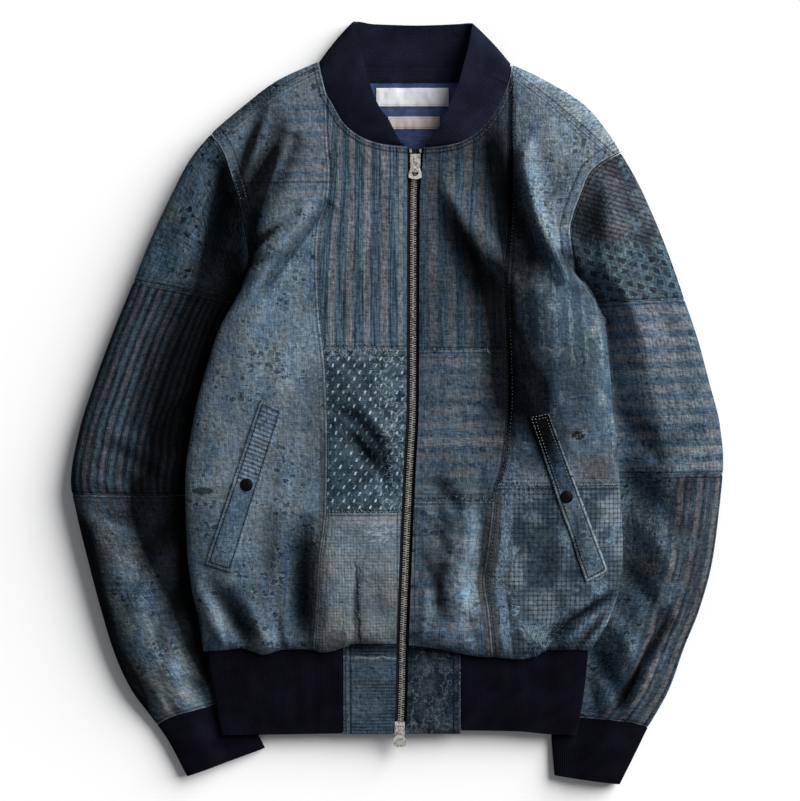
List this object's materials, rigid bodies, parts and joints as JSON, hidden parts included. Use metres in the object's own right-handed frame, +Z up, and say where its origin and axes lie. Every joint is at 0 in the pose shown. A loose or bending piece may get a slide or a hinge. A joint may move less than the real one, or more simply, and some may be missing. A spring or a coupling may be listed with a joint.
{
  "type": "patched boro bomber jacket",
  "caption": "Zipped bomber jacket of patched indigo boro cloth with ribbed collar, cuffs and waistband, laid flat on its back.",
  "frame": {"origin": "centre of the jacket's footprint, on the surface that it lies on", "axes": "+Z up from the surface, +Y towards the collar, +X to the right when seen from above"},
  "size_m": [0.654, 0.767, 0.0448],
  "materials": {
    "mottled_denim": "faded blue denim, mottled and speckled",
    "striped_cloth": "blue cloth with faded beige stripes",
    "dark_striped_cloth": "dark blue cloth with faint stripes",
    "kasuri_cloth": "dark teal kasuri with small white dashes",
    "check_cloth": "grey-blue cloth with a fine check",
    "gingham_cloth": "blue cloth with a small check, darned",
    "worn_denim": "worn indigo cloth, darned",
    "left_upper_denim": "dark mottled denim",
    "left_striped_cloth": "dark cloth with narrow stripes",
    "left_lower_denim": "dark mottled cloth with running stitches",
    "right_ribbed_cloth": "dark cloth with fine cross ribs",
    "right_banded_cloth": "dark cloth with faded cross bands",
    "right_striped_cloth": "dark cloth with brown and blue stripes",
    "navy_rib": "navy rib knit",
    "antique_nickel": "antique nickel, worn",
    "zip_teeth": "dull antique brass",
    "black_tape": "black woven tape",
    "dark_snap": "near-black lacquer",
    "blue_nylon": "blue nylon lining, slight sheen",
    "white_label": "white woven label, blank",
    "cream_label": "cream woven label, blank with a stitched border"
  },
  "bodies": {
    "jacket": {"back_panel": "worn_denim", "front_left_side": "mottled_denim", "front_left_stripe": "striped_cloth", "front_left_kasuri": "kasuri_cloth", "front_left_check": "check_cloth", "front_right_stripe": "dark_striped_cloth", "front_right_worn": "worn_denim", "front_right_creased": "worn_denim", "front_right_side": "mottled_denim", "front_right_gingham": "gingham_cloth", "yoke_left": "mottled_denim", "yoke_right": "mottled_denim", "sleeve_left_upper": "left_upper_denim", "sleeve_left_middle": "left_striped_cloth", "sleeve_left_lower": "left_lower_denim", "sleeve_right_upper": "right_ribbed_cloth", "sleeve_right_middle": "right_banded_cloth", "sleeve_right_lower": "right_striped_cloth", "cuff_left": "navy_rib", "cuff_right": "navy_rib", "hem_rib": "navy_rib", "hem_tab_left": "left_striped_cloth", "hem_tab_right": "worn_denim", "collar": "navy_rib", "neck_tape": "navy_rib", "lining": "blue_nylon", "label_main": "white_label", "label_small": "cream_label", "zip_tape_left": "black_tape", "zip_tape_right": "black_tape", "zip_chain": "zip_teeth", "zip_stop_left": "zip_teeth", "zip_stop_right": "zip_teeth", "slider_top": "antique_nickel", "slider_bottom": "antique_nickel", "welt_left": "mottled_denim", "welt_right": "mottled_denim", "snap_left": "dark_snap", "snap_right": "dark_snap"},
    "pull_top": {"pull_top": "antique_nickel"},
    "pull_bottom": {"pull_bottom": "antique_nickel"}
  },
  "joints": [
    {"name": "pull_top_hinge", "type": "hinge", "parent": "jacket", "child": "pull_top", "pos_m": [0.01809, 0.2415, 0.0343], "axis": [-1, 0, 0], "range_deg": [0, 150]},
    {"name": "pull_bottom_hinge", "type": "hinge", "parent": "jacket", "child": "pull_bottom", "pos_m": [0.00265, -0.3255, 0.01777], "axis": [-1, 0, 0], "range_deg": [0, 150]}
  ]
}
